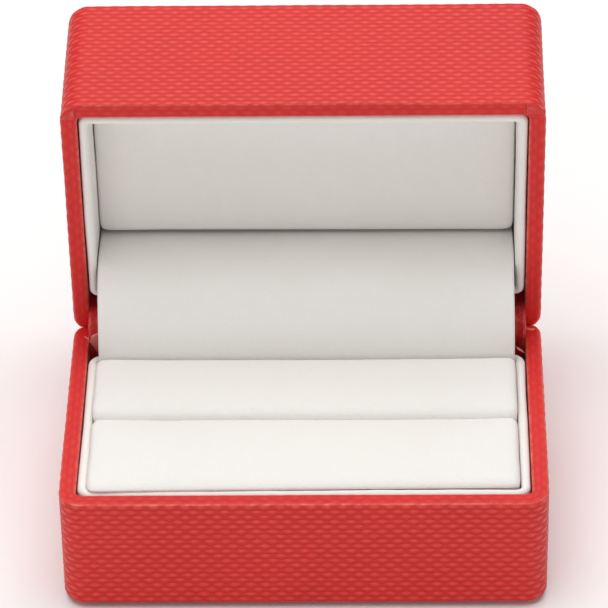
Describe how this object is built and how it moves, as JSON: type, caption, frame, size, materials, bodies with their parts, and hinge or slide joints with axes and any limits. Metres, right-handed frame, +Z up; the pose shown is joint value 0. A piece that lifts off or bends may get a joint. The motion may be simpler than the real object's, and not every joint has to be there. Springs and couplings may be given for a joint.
{
  "type": "ring box",
  "caption": "Hinged ring box in embossed leatherette, lid open, with a padded slit cushion for rings, a padded lid and a flap over a pinned snap hinge.",
  "frame": {"origin": "centre of the flat underside of the base", "axes": "+X to the right along the hinge, +Y to the back where the lid stands, +Z up"},
  "size_m": [0.076, 0.0721, 0.069],
  "materials": {
    "wrap": "red leatherette embossed with rows of small raised ovals, satin",
    "lining": "smooth off-white leatherette with a fine grain",
    "strip": "thin red leatherette strip, slightly glossy, creased",
    "shell": "moulded black plastic",
    "card": "grey board",
    "foam": "soft open-cell foam",
    "steel": "plated pressed steel",
    "foot": "flocked paper"
  },
  "bodies": {
    "base": {"base_shell": "shell", "base_wrap": "wrap", "foot_sheet": "foot", "base_collar": "lining", "insert_card": "card", "front_cushion": "lining", "front_cushion_foam": "foam", "rear_cushion": "lining", "rear_cushion_foam": "foam", "hinge_base_leaf": "steel", "hinge_pin": "steel", "snap_spring": "steel", "base_rivet_left": "steel", "base_rivet_right": "steel", "hinge_strip": "strip", "hinge_flap": "lining", "hinge_flap_card": "card"},
    "lid": {"lid_shell": "shell", "lid_wrap": "wrap", "lid_collar": "lining", "lid_pad": "lining", "lid_pad_foam": "foam", "lid_pad_board": "card", "lid_pad_riser": "card", "hinge_lid_leaf": "steel", "lid_rivet_left": "steel", "lid_rivet_right": "steel"}
  },
  "joints": [
    {"name": "lid_hinge", "type": "hinge", "parent": "base", "child": "lid", "pos_m": [0, 0.02225, 0.02095], "axis": [1, 0, 0], "range_deg": [0, 85], "deforming": ["hinge_flap", "hinge_flap_card", "hinge_strip"]}
  ]
}
